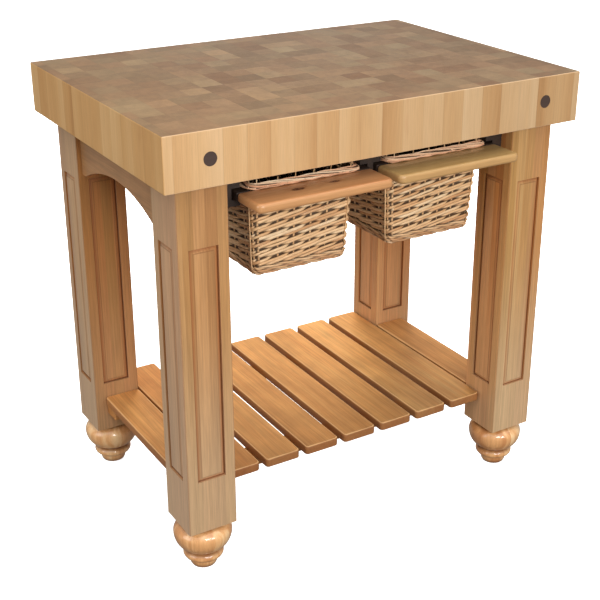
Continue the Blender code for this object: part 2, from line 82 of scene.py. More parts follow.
class Paint:
    """A node material under construction. Each call adds a node and returns one of its outputs."""

    def __init__(self, name, roughness, coat=0.0, coat_roughness=0.1):
        self.material = bpy.data.materials.new(name)
        self.material.use_nodes = True
        self.tree = self.material.node_tree
        self.shader = self.tree.nodes["Principled BSDF"]
        self.shader.inputs["Roughness"].default_value = roughness
        self.shader.inputs["Coat Weight"].default_value = coat
        self.shader.inputs["Coat Roughness"].default_value = coat_roughness
        self.place = self.add("ShaderNodeTexCoord", output="Object")
        self.x, self.y, self.z = self.split(self.place)
        self.normal = self.split(self.add("ShaderNodeTexCoord", output="Normal"))
        self.facing = [self.calc("ABSOLUTE", part) for part in self.normal]

    def add(self, kind, inputs=(), output=0, **settings):
        node = self.tree.nodes.new(kind)
        for key, value in settings.items():
            setattr(node, key, value)
        for key, value in dict(inputs).items():
            socket = node.inputs[key]
            if isinstance(value, bpy.types.NodeSocket):
                self.tree.links.new(value, socket)
            else:
                socket.default_value = value
        return node.outputs[output]

    def calc(self, operation, a, b=0.0):
        return self.add("ShaderNodeMath", {0: a, 1: b}, operation=operation)

    def weigh(self, a, share_a, b, share_b):
        """A weighted sum."""
        return self.calc("ADD", self.calc("MULTIPLY", a, share_a), self.calc("MULTIPLY", b, share_b))

    def vector(self, x=0.0, y=0.0, z=0.0):
        return self.add("ShaderNodeCombineXYZ", {0: x, 1: y, 2: z})

    def split(self, vector):
        node = self.tree.nodes.new("ShaderNodeSeparateXYZ")
        self.tree.links.new(vector, node.inputs[0])
        return node.outputs[0], node.outputs[1], node.outputs[2]

    def shift(self, vector, by):
        return self.add("ShaderNodeVectorMath", {0: vector, 1: by}, operation="ADD")

    def stretch(self, vector, by):
        return self.add("ShaderNodeVectorMath", {0: vector, 1: by}, operation="MULTIPLY")

    def noise(self, vector, scale=1.0, detail=2.0, roughness=0.5, distortion=0.0):
        inputs = {"Vector": vector, "Scale": scale, "Detail": detail, "Roughness": roughness,
                  "Distortion": distortion}
        return self.add("ShaderNodeTexNoise", inputs, "Fac")

    def white(self, vector):
        return self.add("ShaderNodeTexWhiteNoise", {"Vector": vector}, "Value", noise_dimensions="3D")

    def white_vector(self, vector):
        return self.add("ShaderNodeTexWhiteNoise", {"Vector": vector}, "Color", noise_dimensions="3D")

    def mix(self, factor, a, b, blend="MIX"):
        return self.add("ShaderNodeMix", {0: factor, 6: a, 7: b}, 2, data_type="RGBA", blend_type=blend)

    def fade(self, value, low, high, start=0.0, end=1.0):
        inputs = {"Value": value, "From Min": low, "From Max": high, "To Min": start, "To Max": end}
        return self.add("ShaderNodeMapRange", inputs, interpolation_type="SMOOTHSTEP")

    def ramp(self, factor, *stops):
        """Colours spread evenly over 0 to 1."""
        node = self.tree.nodes.new("ShaderNodeValToRGB")
        self.tree.links.new(factor, node.inputs[0])
        elements = node.color_ramp.elements
        while len(elements) < len(stops):
            elements.new(0.5)
        for i, (element, stop) in enumerate(zip(elements, stops)):
            element.position = i / (len(stops) - 1)
            element.color = srgb(*stop)
        return node.outputs[0]

    def dim(self, colour, amount):
        """Colour times a grey or a tint."""
        return self.mix(1.0, colour, amount, "MULTIPLY")

    def tint(self, colour, mask, strength, other):
        """Colour that goes over to another one, given in 0 to 255 values, where the mask is 1."""
        return self.mix(self.calc("MULTIPLY", mask, strength), colour, srgb(*other))

    def vary(self, colour, noise, darkest, lightest, reach=(0.3, 0.7)):
        """Colour shaded by a noise. reach is the noise's values that make it darkest and lightest."""
        return self.dim(colour, self.fade(noise, *reach, darkest, lightest))

    def drawn_out(self, vector, along, scales):
        """Where to sample a noise that runs along one axis. scales are along that axis and across."""
        return self.stretch(vector, [scales[0] if axis == along else scales[1] for axis in "XYZ"])

    def grain(self, along, key):
        """Growth bands and fine pores that run along one axis. key shifts them from piece to piece."""
        moved = self.shift(self.place, self.stretch(key, GRAIN_SHIFT))
        return (self.noise(self.drawn_out(moved, along, BAND_SCALES), 1.0, 3.0, 0.55, 0.6),
                self.noise(self.drawn_out(moved, along, PORE_SCALES), 1.0, 2.0, 0.6))

    def finish(self, colour, height=None, strength=0.0, distance=0.0):
        """The material, with a bump where a height is given. distance is the bump's size in metres."""
        self.tree.links.new(colour, self.shader.inputs["Base Color"])
        if height is not None:
            inputs = {"Height": height, "Strength": strength, "Distance": distance}
            bump = self.add("ShaderNodeBump", inputs, "Normal")
            self.tree.links.new(bump, self.shader.inputs["Normal"])
        return self.material


def paint_nodes(material, *names):
    for name in names:
        data = NODES[name].data
        data.materials.clear()
        data.materials.append(material)


# ---- Woods. Tones run from dark to light, in 0 to 255 values. -------------------------------

BLOCK_PITCH = (0.0463, 0.0469)  # the glued blocks' width and depth
BLOCK_START = (-0.4386, -0.2882)  # a joint between blocks, in X and in Y
BLOCKS_PER_PLANK = 2.4  # neighbours in a column that were sawn from one plank and look alike
END_GRAIN_TONES = ((127, 100, 75), (139, 112, 85), (146, 119, 91), (153, 127, 97), (169, 142, 108))
END_GRAIN_HUES = ((255, 243, 236), (248, 250, 246))
# painted light: the top's tint, from greyer at the back right to warmer at the front left
TOP_LIGHT_HUES = ((230, 234, 240), (255, 251, 240))  # from the back right corner to the front left one
RING_SCALE = 2300.0  # growth rings, in radians per metre
RING_WOBBLE = 0.01  # metres
STAVE_TONES = ((164, 118, 74), (196, 152, 103), (208, 168, 120), (214, 178, 134), (234, 206, 164))
STAVE_SIDE_LIGHT_HUE = (252, 244, 222)  # on the table's left and right side
STAVE_STAIN = (178, 118, 66)
BLOCK_ARRIS_HIGHLIGHT = (236, 200, 160)


def end_grain_top(p, tone, key, speckle):
    """Growth rings round a centre that lies somewhere outside each block, mottled, with painted light:
    warmer and lighter towards the front left and the front edge, greyer towards the back right.
    """
    centre = p.stretch(p.shift(key, (-0.5, -0.5, 0.0)), (0.3, 0.3, 0.0))
    flat_place = p.stretch(p.place, (1.0, 1.0, 0.0))
    near = p.add("ShaderNodeVectorMath", {0: flat_place, 1: centre}, "Value", operation="DISTANCE")
    wobble = p.calc("MULTIPLY", p.noise(p.place, 30.0, 3.0), RING_WOBBLE)
    rings = p.calc("SINE", p.calc("MULTIPLY", p.calc("ADD", near, wobble), RING_SCALE))
    shade = p.calc("ADD", p.calc("MULTIPLY", rings, 0.018), p.fade(speckle, 0.3, 0.7, 0.93, 1.05))
    cloud = p.fade(p.noise(p.place, 42.0, 5.0, 0.74), 0.3, 0.7, 0.87, 1.10)
    # painted light falloff across the top, from the back right corner to the front left one
    top_light_falloff = p.fade(p.calc("ADD", p.x, p.y), 0.6, -0.75)
    colour = p.dim(p.ramp(tone, *END_GRAIN_TONES), p.ramp(p.split(key)[1], *END_GRAIN_HUES))
    colour = p.dim(colour, p.calc("MULTIPLY", shade, cloud))
    colour = p.dim(colour, p.ramp(top_light_falloff, *TOP_LIGHT_HUES))
    # painted light: the top a little lighter towards its front edge
    return p.dim(colour, p.fade(p.y, 0.05, -0.22, 1.0, 1.09))


def stave_sides(p, tone, key, across_stave):
    """The same blocks' long grain. Each stave is a little lighter towards one of its edges. Painted
    light makes the sides lighter to the table's left, darker to its right, and warmer on its left and
    right ends.
    """
    bands, pores = p.grain("Z", key)
    lean = p.calc("MULTIPLY", p.calc("SUBTRACT", across_stave, 0.5),
                  p.calc("SUBTRACT", p.split(key)[2], 0.5))
    tone = p.calc("ADD", p.weigh(tone, 0.7, bands, 0.35), p.calc("MULTIPLY", lean, 0.7))
    colour = p.vary(p.ramp(tone, *STAVE_TONES), pores, 0.92, 1.05, PORE_REACH)
    # painted light falloff: lighter at the table's left, darker to its right
    colour = p.dim(colour, p.fade(p.x, -0.45, 0.3, 1.06, 0.86))
    # painted light: a warmer, yellower tint on the table's left and right sides, for how light falls
    # there
    colour = p.dim(colour, p.mix(p.facing[0], WHITE, srgb(*STAVE_SIDE_LIGHT_HUE)))
    stain = p.fade(p.noise(p.stretch(p.place, (26.0, 26.0, 5.0)), 1.0, 3.0), 0.6, 0.8)
    return p.tint(colour, stain, 0.5, STAVE_STAIN)


def block_joint(p, position):
    """A hairline where a position, counted in blocks, passes a whole number."""
    from_middle = p.calc("ABSOLUTE", p.calc("SUBTRACT", p.calc("FRACT", position), 0.5))
    return p.fade(from_middle, 0.475, 0.497)


def end_grain_material():
    """End-grain blocks on the upper face, and the same blocks' long grain down the sides."""
    p = Paint("end_grain_block", 0.5)
    p.shader.inputs["Specular IOR Level"].default_value = 0.3
    across = p.calc("DIVIDE", p.calc("SUBTRACT", p.x, BLOCK_START[0]), BLOCK_PITCH[0])
    deep = p.calc("DIVIDE", p.calc("SUBTRACT", p.y, BLOCK_START[1] + TABLE_Y), BLOCK_PITCH[1])
    column, row = p.calc("FLOOR", across), p.calc("FLOOR", deep)
    block = p.vector(column, row, 3.7)
    shifted_row = p.calc("ADD", row, p.white(p.vector(column)))
    plank = p.vector(column, p.calc("FLOOR", p.calc("DIVIDE", shifted_row, BLOCKS_PER_PLANK)))
    tone = p.weigh(p.white(block), 0.7, p.white(plank), 0.3)
    key = p.white_vector(block)
    speckle = p.noise(p.place, 900.0, 2.0, 0.7)
    across_stave = p.calc("FRACT", p.add("ShaderNodeMix", {0: p.facing[0], 2: across, 3: deep}))
    upward = p.fade(p.facing[2], 0.55, 0.85)
    colour = p.mix(upward, stave_sides(p, tone, key, across_stave), end_grain_top(p, tone, key, speckle))

    # On the upper face both ways' joints show, and on a side only those between its own staves.
    on_top = p.calc("MAXIMUM", block_joint(p, across), block_joint(p, deep))
    on_side = p.mix(p.facing[0], block_joint(p, across), block_joint(p, deep))
    line = p.mix(upward, on_side, on_top)
    colour = p.dim(colour, p.fade(line, 0.0, 1.0, 1.0, 0.90))
    # painted highlight along the top's rounded front and back edges
    arris_highlight = p.calc("MULTIPLY", p.fade(p.facing[2], 0.1, 0.35), p.fade(p.facing[2], 0.97, 0.85))
    arris_highlight = p.calc("MULTIPLY", arris_highlight, p.fade(p.facing[0], 0.5, 0.1))
    colour = p.tint(colour, arris_highlight, 0.55, BLOCK_ARRIS_HIGHLIGHT)
    return p.finish(colour, p.calc("SUBTRACT", speckle, line), 0.15, 0.0003)


LEG_STRIP = 0.0235  # width of the strips that a leg is glued from
LEG_TONES = ((162, 119, 76), (180, 134, 87), (188, 144, 96), (196, 154, 108), (203, 167, 125))
LEG_HUES = ((255, 238, 222), (246, 250, 226), (255, 246, 240))
LEG_FOOT_BOUNCE_TONE = (204, 178, 144)  # near the feet
LEG_INNER_BOUNCE_HUE = (255, 238, 222)  # on faces that look at the other legs
LEG_LEFT_SHEEN = (212, 178, 146)  # on the left legs' outer faces
FIELD_EDGE_SHADE = (132, 82, 48)
GROOVE_SHADE = (176, 108, 62)
GROOVE_BOTTOM_SHADE = (104, 60, 34)


def off_centre(p, place, middle):
    """How far a place is from the middle of the leg on its own side of the table."""
    return p.calc("ABSOLUTE", p.calc("SUBTRACT", p.calc("ABSOLUTE", place), middle))


def leg_groove(p, colour):
    """Painted shade in the routed groove, darker with its depth, and a line of painted shade round the
    raised field.
    """
    beside = off_centre(p, p.x, LEG_MIDDLE.x)
    behind = off_centre(p, p.calc("SUBTRACT", p.y, TABLE_Y), LEG_MIDDLE.y)
    depth = p.calc("SUBTRACT", LEG_HALF, p.calc("MAXIMUM", beside, behind))
    field = p.calc("MULTIPLY", p.fade(depth, 0.0001, 0.0006), p.fade(depth, 0.0018, 0.0010))
    colour = p.tint(colour, field, 0.5, FIELD_EDGE_SHADE)
    colour = p.tint(colour, p.fade(depth, 0.0005, 0.0040), 0.62, GROOVE_SHADE)
    return p.tint(colour, p.fade(depth, 0.0040, 0.0056), 0.7, GROOVE_BOTTOM_SHADE)


def leg_material():
    """Glued strips down each leg, with their own tones, warmer at the top and greyer at the foot. The
    greyer foot, the warmth on faces that look at the other legs, the grey on the left legs' sides and
    the lighter right legs are painted light.
    """
    p = Paint("leg_maple", 0.36)
    leg_number = p.white(p.vector(p.calc("SIGN", p.x), p.calc("SIGN", p.y)))
    on_side = p.fade(p.facing[0], 0.45, 0.55)
    place = p.add("ShaderNodeMix", {0: on_side, 2: p.x, 3: p.y})
    bend = p.calc("MULTIPLY", p.noise(p.stretch(p.place, (14.0, 14.0, 0.4)), 1.0, 1.0), 0.012)
    strip = p.calc("DIVIDE", p.calc("ADD", place, bend), LEG_STRIP)
    strip = p.calc("FLOOR", p.calc("ADD", strip, p.calc("MULTIPLY", leg_number, 7.0)))
    # The factors only keep the numbers of different legs' and faces' strips apart.
    strip_id = p.vector(strip, p.calc("MULTIPLY", on_side, 5.0), p.calc("MULTIPLY", leg_number, 31.0))
    key = p.white_vector(strip_id)
    bands, pores = p.grain("Z", key)
    colour = p.ramp(p.weigh(p.white(strip_id), 0.62, bands, 0.42), *LEG_TONES)
    colour = p.dim(colour, p.ramp(p.split(key)[1], *LEG_HUES))
    # painted light: lighter and greyer towards the foot, as from light bounced up off the floor
    colour = p.tint(colour, p.fade(p.z, 0.62, 0.14), 0.55, LEG_FOOT_BOUNCE_TONE)

    right, back = p.fade(p.x, -0.01, 0.01), p.fade(p.y, -0.01, 0.01)
    # painted light: faces that look at the other legs warmer, as from light bounced off the wood
    inner = p.mix(on_side, p.calc("MULTIPLY", back, p.fade(p.normal[1], 0.5, -0.5)),
                  p.calc("MULTIPLY", right, p.fade(p.normal[0], 0.5, -0.5)))
    colour = p.dim(colour, p.mix(inner, WHITE, srgb(*LEG_INNER_BOUNCE_HUE)))
    # painted sheen: the left legs' side faces greyer, as reflecting the studio
    left_sheen = p.calc("MULTIPLY", on_side, p.calc("SUBTRACT", 1.0, right))
    colour = p.tint(colour, left_sheen, 0.5, LEG_LEFT_SHEEN)
    # painted light: the right legs lighter, and their faces towards the other legs lighter still
    colour = p.dim(colour, p.fade(right, 0.0, 1.0, 1.0, 1.1))
    colour = p.dim(colour, p.fade(p.calc("MULTIPLY", right, inner), 0.0, 1.0, 1.0, 1.14))

    colour = leg_groove(p, colour)
    streaks = p.drawn_out(p.shift(p.place, key), "Z", LEG_STREAK_SCALES)
    colour = p.vary(colour, p.noise(streaks, 1.0, 3.0, 0.6), 0.88, 1.07)
    colour = p.vary(colour, pores, 0.88, 1.06, PORE_REACH)
    return p.finish(colour, pores, 0.12, 0.0002)


EDGE_SHADE = (138, 80, 44)
ARRIS_HIGHLIGHT = (240, 196, 140)


def plank_material(name, along, tones, roughness, pitch=None, start=0.0, edges=0.0, ends=(1.0, 1.0)):
    """A plain board's wood. With a pitch, each board from start along X gets its own tone and grain.

    edges is how much painted shade darkens the boards' side faces and a painted highlight lightens
    the rounded edges above them, and ends is the painted light falloff: how light the wood is at the
    table's front and at its back.
    """
    p = Paint(name, roughness)
    index = p.calc("FLOOR", p.calc("DIVIDE", p.calc("SUBTRACT", p.x, start), pitch)) if pitch else 0.0
    board_id = p.vector(index, 2.5)
    key = p.white_vector(board_id)
    moved = p.shift(p.place, key)
    bands, pores = p.grain(along, key)
    colour = p.ramp(p.weigh(p.white(board_id), 0.35, bands, 0.72), *tones)
    colour = p.vary(colour, p.noise(moved, 9.0, 3.0), 0.87, 1.09)
    colour = p.vary(colour, p.noise(p.drawn_out(moved, along, STREAK_SCALES), 1.0, 3.0, 0.6), 0.86, 1.08)
    colour = p.vary(colour, pores, 0.88, 1.05, PORE_REACH)
    # painted light falloff from the table's front to its back
    colour = p.dim(colour, p.fade(p.y, -0.28, 0.28, *ends))
    # painted shade on the boards' side faces, and a painted highlight on the rounded edges above them
    colour = p.tint(colour, p.fade(p.facing[2], 0.75, 0.3), edges, EDGE_SHADE)
    arris_highlight = p.calc("MULTIPLY", p.fade(p.facing[2], 0.995, 0.94), p.fade(p.facing[2], 0.6, 0.8))
    colour = p.tint(colour, arris_highlight, edges, ARRIS_HIGHLIGHT)
    return p.finish(colour, pores, 0.15, 0.0003)


KNOT_BROWN = (84, 40, 20)
BOARD_EDGE_LIGHT = (196, 150, 100)


def pine_material(name, tones, *knots):
    """A front board with its grain along X, swirled round knots that are each (x, y, half length)."""
    p = Paint(name, 0.3, 0.25)
    swirl = dark = 0.0
    for x, y, half_length in knots:
        away = p.stretch(p.shift(p.place, (-x, -y, 0.0)), (1 / half_length, 2.2 / half_length, 0.0))
        distance = p.add("ShaderNodeVectorMath", {0: away}, "Value", operation="LENGTH")
        ragged = p.fade(p.noise(p.place, 260.0, 2.0), 0.28, 0.5)
        swirl = p.calc("MAXIMUM", swirl, p.fade(distance, 2.6, 0.2))
        dark = p.calc("MAXIMUM", dark, p.calc("MULTIPLY", p.fade(distance, 1.0, 0.6), ragged))
    across = p.calc("ADD", p.y, p.calc("MULTIPLY", swirl, 0.016))
    bands = p.noise(p.stretch(p.vector(p.x, across, p.z), (3.0, 70.0, 40.0)), 1.0, 3.0, 0.5, 0.8)
    pores = p.noise(p.stretch(p.place, (20.0, 800.0, 500.0)), 1.0, 2.0)
    colour = p.ramp(p.calc("ADD", bands, p.calc("MULTIPLY", swirl, -0.12)), *tones)
    colour = p.mix(dark, colour, srgb(*KNOT_BROWN))
    # painted light: the front, the ends and the rounded front edge take their own tone, set for how
    # light falls on them
    colour = p.tint(colour, p.fade(p.facing[2], 0.9, 0.4), 0.45, BOARD_EDGE_LIGHT)
    colour = p.vary(colour, pores, 0.88, 1.05, PORE_REACH)
    return p.finish(colour, pores, 0.1, 0.0002)


FOOT_TONES = ((148, 84, 42), (206, 140, 84), (236, 178, 118), (252, 212, 158))
FOOT_GROOVES = ((0.0400, 0.011), (0.1040, 0.009), (0.0, 0.013))  # height and reach of each
FOOT_GROOVE_SHADE = (112, 64, 34)


def foot_material():
    """Turned maple under lacquer, glued from two halves with different tones, with painted shade in its
    groove, under its neck and at its bottom edge.
    """
    p = Paint("lacquered_foot", 0.35, 1.0, 0.06)
    half = p.calc("SIGN", p.calc("SUBTRACT", p.calc("ABSOLUTE", p.x), LEG_MIDDLE.x))
    half_id = p.vector(p.calc("SIGN", p.x), p.calc("SIGN", p.y), half)
    bands, pores = p.grain("Z", p.white_vector(half_id))
    tone = p.calc("ADD", p.calc("MULTIPLY", p.white(half_id), 0.6), p.fade(bands, 0.3, 0.7, 0.0, 0.45))
    colour = p.vary(p.ramp(tone, *FOOT_TONES), pores, 0.9, 1.04, PORE_REACH)
    for level, reach in FOOT_GROOVES:  # painted shade in them
        near = p.fade(p.calc("ABSOLUTE", p.calc("SUBTRACT", p.z, level)), reach, 0.0)
        colour = p.tint(colour, near, 0.75, FOOT_GROOVE_SHADE)
    return p.finish(colour)


WALNUT_TONES = ((62, 46, 40), (84, 66, 58))
STEEL_TONES = ((176, 178, 180), (200, 202, 204))


def walnut_material():
    p = Paint("walnut_plug", 0.4)
    bands, pores = p.grain("X", p.vector())
    return p.finish(p.ramp(bands, *WALNUT_TONES), pores, 0.2, 0.0002)


def steel_material():
    p = Paint("zinc_steel", 0.35)
    p.shader.inputs["Metallic"].default_value = 1.0
    return p.finish(p.ramp(p.noise(p.place, 300.0), *STEEL_TONES))


WICKER_LOW_TONE = (184, 132, 90)
WICKER_FOOT_TONE = (158, 104, 70)
WICKER_TUCKED_SHADE = (58, 35, 20)


def wicker_material(name, tones):
    """Peeled willow. The strand attribute gives each rod its own tone, and recess paints shade on it
    where it is tucked in and where it meets the next rod.
    """
    p = Paint(name, 0.5)
    strand_id = p.vector(p.add("ShaderNodeAttribute", output="Fac", attribute_name="strand"))
    recess = p.add("ShaderNodeAttribute", output="Fac", attribute_name="recess")
    moved = p.shift(p.place, p.white_vector(strand_id))
    streak = p.noise(p.stretch(moved, (60.0, 60.0, 420.0)), 1.0, 3.0)
    colour = p.ramp(p.weigh(p.white(strand_id), 0.75, streak, 0.3), *tones)
    colour = p.vary(colour, streak, 0.86, 1.05)
    # painted shade: the baskets' left and right sides darker
    colour = p.dim(colour, p.fade(p.facing[0], 0.5, 0.8, 1.0, 0.86))
    low = p.fade(p.z, WICKER_BASE + 0.115, WICKER_BASE + 0.020)
    colour = p.tint(colour, low, 0.2, WICKER_LOW_TONE)
    colour = p.tint(colour, p.fade(p.z, WICKER_BASE + 0.030, WICKER_BASE), 0.4, WICKER_FOOT_TONE)
    # painted shade where a rod is tucked in and where it meets the next rod
    colour = p.tint(colour, p.fade(recess, 0.1, 0.95), 0.92, WICKER_TUCKED_SHADE)
    return p.finish(colour, streak, 0.35, 0.0004)


APRON_TONES = ((165, 119, 77), (180, 132, 87), (192, 146, 98), (202, 158, 111))
SLAT_TONES = ((158, 97, 50), (188, 128, 70), (208, 151, 88), (226, 180, 114))
# near-black wood for the runners and the trays' rails, painted as the shade under the top
RUNNER_SHADE_TONES = ((42, 31, 24), (51, 38, 30), (60, 45, 35), (70, 53, 42))
KNOTTY_TONES = ((178, 110, 64), (200, 136, 86), (211, 153, 101), (217, 167, 117))
CLEAR_TONES = ((173, 132, 80), (190, 151, 95), (200, 165, 107), (208, 177, 122))
KNOTS = ((-0.191, -0.289, 0.017), (-0.112, -0.286, 0.013))

paint_nodes(end_grain_material(), "butcher_block")
paint_nodes(leg_material(), *LEGS)
paint_nodes(plank_material("side_apron_maple", "Y", APRON_TONES, 0.36),
            "side_apron_left", "side_apron_right")
paint_nodes(plank_material("cross_maple", "X", APRON_TONES, 0.36), "back_apron")
# the slats: painted shade on their side faces, a painted highlight on their rounded edges, and painted
# light that is darker at the front and lighter at the back
paint_nodes(plank_material("shelf_maple", "Y", SLAT_TONES, 0.48, SLAT_PITCH,
                           SLAT_LOW.x - SLAT_GAP / 2, 0.55, (0.74, 1.28)), *SLATS)
paint_nodes(plank_material("batten_maple", "X", SLAT_TONES, 0.4),
            "shelf_batten_front", "shelf_batten_rear")
paint_nodes(plank_material("runner_shaded_dark", "Y", RUNNER_SHADE_TONES, 0.5),
            "runner_left", "runner_centre", "runner_right")
WALNUT, STEEL = walnut_material(), steel_material()
for face in ("front", "back"):
    for side in ("left", "right"):
        paint_nodes(WALNUT, f"bolt_plug_{face}_{side}")
        paint_nodes(STEEL, f"rod_nut_{face}_{side}")
paint_nodes(STEEL, "tie_rod_left", "tie_rod_right",
            *[f"{bolt}_{corner}" for bolt in ("leg_bolt", "foot_stud") for corner in CORNERS])
RAIL_SHADE_WOOD = plank_material("rail_shaded_dark", "Y", RUNNER_SHADE_TONES, 0.45)
for side, pine in (("left", pine_material("knotty_pine", KNOTTY_TONES, *KNOTS)),
                   ("right", pine_material("clear_pine", CLEAR_TONES))):
    paint_nodes(pine, f"{side}_basket_front_board")
    paint_nodes(RAIL_SHADE_WOOD, *[f"{side}_basket_{piece}" for piece in TRAY_RAILS])


SHARP_EDGE = math.radians(50)


def softening():
    """A node group that joins a CAD mesh's faces and shades it smooth, apart from its sharp edges."""
    group = bpy.data.node_groups.new("soften", "GeometryNodeTree")
    for direction in ("INPUT", "OUTPUT"):
        group.interface.new_socket("Geometry", in_out=direction, socket_type="NodeSocketGeometry")
    mesh = group.nodes.new("NodeGroupInput").outputs[0]

    def step(kind, inputs, **settings):
        node = group.nodes.new(kind)
        for key, value in settings.items():
            setattr(node, key, value)
        for key, value in inputs.items():
            if isinstance(value, bpy.types.NodeSocket):
                group.links.new(value, node.inputs[key])
            else:
                node.inputs[key].default_value = value
        return node.outputs[0]
    mesh = step("GeometryNodeRemoveAttribute", {"Geometry": mesh, "Name": "custom_normal"})
    mesh = step("GeometryNodeMergeByDistance", {"Geometry": mesh, "Distance": 0.00001})
    mesh = step("GeometryNodeSetShadeSmooth", {0: mesh, "Shade Smooth": True}, domain="FACE")
    angle = step("GeometryNodeInputMeshEdgeAngle", {})
    sharp = step("FunctionNodeCompare", {0: angle, 1: SHARP_EDGE}, operation="GREATER_THAN")
    mesh = step("GeometryNodeSetShadeSmooth", {0: mesh, "Selection": sharp, "Shade Smooth": False},
                domain="EDGE")
    group.links.new(mesh, group.nodes.new("NodeGroupOutput").inputs[0])
    return group


SOFTEN = softening()
for name in ("butcher_block", *LEGS, *SLATS,
             *[f"{side}_basket_{piece}" for side in ("left", "right")
               for piece in ("front_board", *TRAY_RAILS)]):
    NODES[name].modifiers.new("soften", "NODES").node_group = SOFTEN
    normals = NODES[name].modifiers.new("normals", "WEIGHTED_NORMAL")
    normals.keep_sharp = True
    normals.weight = 50


# ---- Turned feet ----------------------------------------------------------------------------

# A foot's profile, as (radius, height) in metres. The bulb is two arcs, and below it are a ring
# and a small pad that the table stands on.
FOOT_TOP_RADIUS = 0.031
FOOT_NECK = (0.0315, 0.1035)
BULB_CENTRE, BULB_UPPER, BULB_LOWER = (0.0255, 0.0785), (0.033, 0.0235), (0.033, 0.0390)
RING_CENTRE, RING_SIZE = (0.0290, 0.0285), (0.0115, 0.0100)
FOOT_PAD = [(0.0280, 0.0160), (0.0278, 0.0110), (0.0268, 0.0050), (0.0245, 0.0008), (0.0235, 0.0)]
LATHE_STEPS = 72


def arc(centre, size, start, end, steps):
    """Points on an ellipse's arc, in degrees from the outward side, as (radius, height)."""
    points = []
    for i in range(steps + 1):
        angle = math.radians(start + (end - start) * i / steps)
        points.append((centre[0] + size[0] * math.cos(angle), centre[1] + size[1] * math.sin(angle)))
    return points


def foot_profile(top):
    points = [(0.0, top), (FOOT_TOP_RADIUS, top), FOOT_NECK]
    points += arc(BULB_CENTRE, BULB_UPPER, 76, 0, 16)
    points += arc(BULB_CENTRE, BULB_LOWER, -6, -66, 16)
    points += arc(RING_CENTRE, RING_SIZE, 66, -52, 14)
    return [*points, *FOOT_PAD, (0.0, 0.0)]


def lathe(name, profile, centre):
    """A closed turned solid."""
    bm = bmesh.new()
    rings = []
    for radius, height in profile:
        if radius == 0:
            rings.append([bm.verts.new((centre[0], centre[1], height))] * LATHE_STEPS)
            continue
        ring = []
        for i in range(LATHE_STEPS):
            angle = math.tau * i / LATHE_STEPS
            ring.append(bm.verts.new((centre[0] + radius * math.cos(angle),
                                      centre[1] + radius * math.sin(angle), height)))
        rings.append(ring)
    for upper, lower in zip(rings, rings[1:]):
        for i in range(LATHE_STEPS):
            corners = [upper[i - 1], upper[i], lower[i], lower[i - 1]]
            bm.faces.new(list(dict.fromkeys(corners)))
    bmesh.ops.recalc_face_normals(bm, faces=bm.faces)
    mesh = bpy.data.meshes.new(name)
    bm.to_mesh(mesh)
    bm.free()
    mesh.shade_smooth()
    mesh.set_sharp_from_angle(angle=math.radians(38))
    return mesh


def put(name, mesh, material, body, slot, *replaced):
    """Puts a new piece in the scene, on its body."""
    piece = bpy.data.objects.new(name, mesh)
    SCENE.collection.objects.link(piece)
    mesh.materials.append(material)
    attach(piece, body)
    if replaced:
        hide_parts(*replaced)


FOOT_WOOD = foot_material()
for corner in CORNERS:
    low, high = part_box(f"foot_{corner}")
    middle = (low + high) / 2
    put(f"turned_foot_{corner}", lathe(f"turned_foot_{corner}", foot_profile(high.z), middle), FOOT_WOOD,
        "table", "glossy_maple", f"foot_{corner}")


# ---- Wicker baskets -------------------------------------------------------------------------

RIM_OUT = 0.012  # the rim's overhang past the wall
RIM_HEIGHT = 0.016
TAPER = 0.0105  # how far the wall leans in on its way down
WALL_CORNER = 0.012
FOOT_ROUNDING = (0.014, 0.006)  # height and depth of the wall's turn to the bottom
ROW = 0.017 / 3  # height of one rod in the weave; three rods make one row of slits
ROD_SIDES = 8
ROD_HALF_HEIGHT = 0.53  # in rows: rods press into each other a little
ROD_HALF_DEPTH = 0.0026
ROD_DEPTH = 0.0034  # how far a rod's middle stands off the stakes' middle
STAKES_OUT = -ROD_DEPTH - ROD_HALF_DEPTH  # the stakes' middle, from the wall's outer face
STAKE_RADIUS, CANE_RADIUS, TIP_RADIUS = 0.0022, 0.0014, 0.0009
WEAVE_START = 0.020  # where the rows begin, above the twisted pairs
PAIR_HEIGHTS = (0.0045, 0.0105, 0.0165)
PAIR_HALF_HEIGHT, PAIR_HALF_DEPTH = 0.0024, 0.0022
PAIR_OUT, PAIR_WIND_HEIGHT, PAIR_WIND_DEPTH = -0.0045, 0.0014, 0.0022  # how two rods wind
BOTTOM_INSET = 0.0085
BOTTOM_HEIGHT = 0.0060
BOTTOM_PITCH = 0.0056
BOTTOM_STICKS = 6
BOTTOM_RADIUS, FILLER_RADIUS = 0.0026, 0.0018
RIM_CORES = ((0.0010, 0.0036, 0.0032), (0.0055, 0.0034, 0.0030))  # out, rise and radius
RIM_FRONT_RADIUS, RIM_TIE_RADIUS = 0.0010, 0.0012
FRONT_STAKES = [-0.056, -0.019, 0.019, 0.056]
SIDE_STAKES = [-0.1575 + 0.045 * i for i in range(8)]
SIDES = (  # outward and along, for the front, right, back and left
    (Vector((0, -1, 0)), Vector((1, 0, 0)), FRONT_STAKES),
    (Vector((1, 0, 0)), Vector((0, 1, 0)), SIDE_STAKES),
    (Vector((0, 1, 0)), Vector((-1, 0, 0)), FRONT_STAKES),
    (Vector((-1, 0, 0)), Vector((0, -1, 0)), SIDE_STAKES),
)
STATIONS = []  # (side, which stake). A side's first and last are its corner stakes.
for side_number, (_, _, stakes) in enumerate(SIDES):
    STATIONS += [(side_number, i) for i in range(len(stakes) + 2)]
TURN = len(STATIONS)

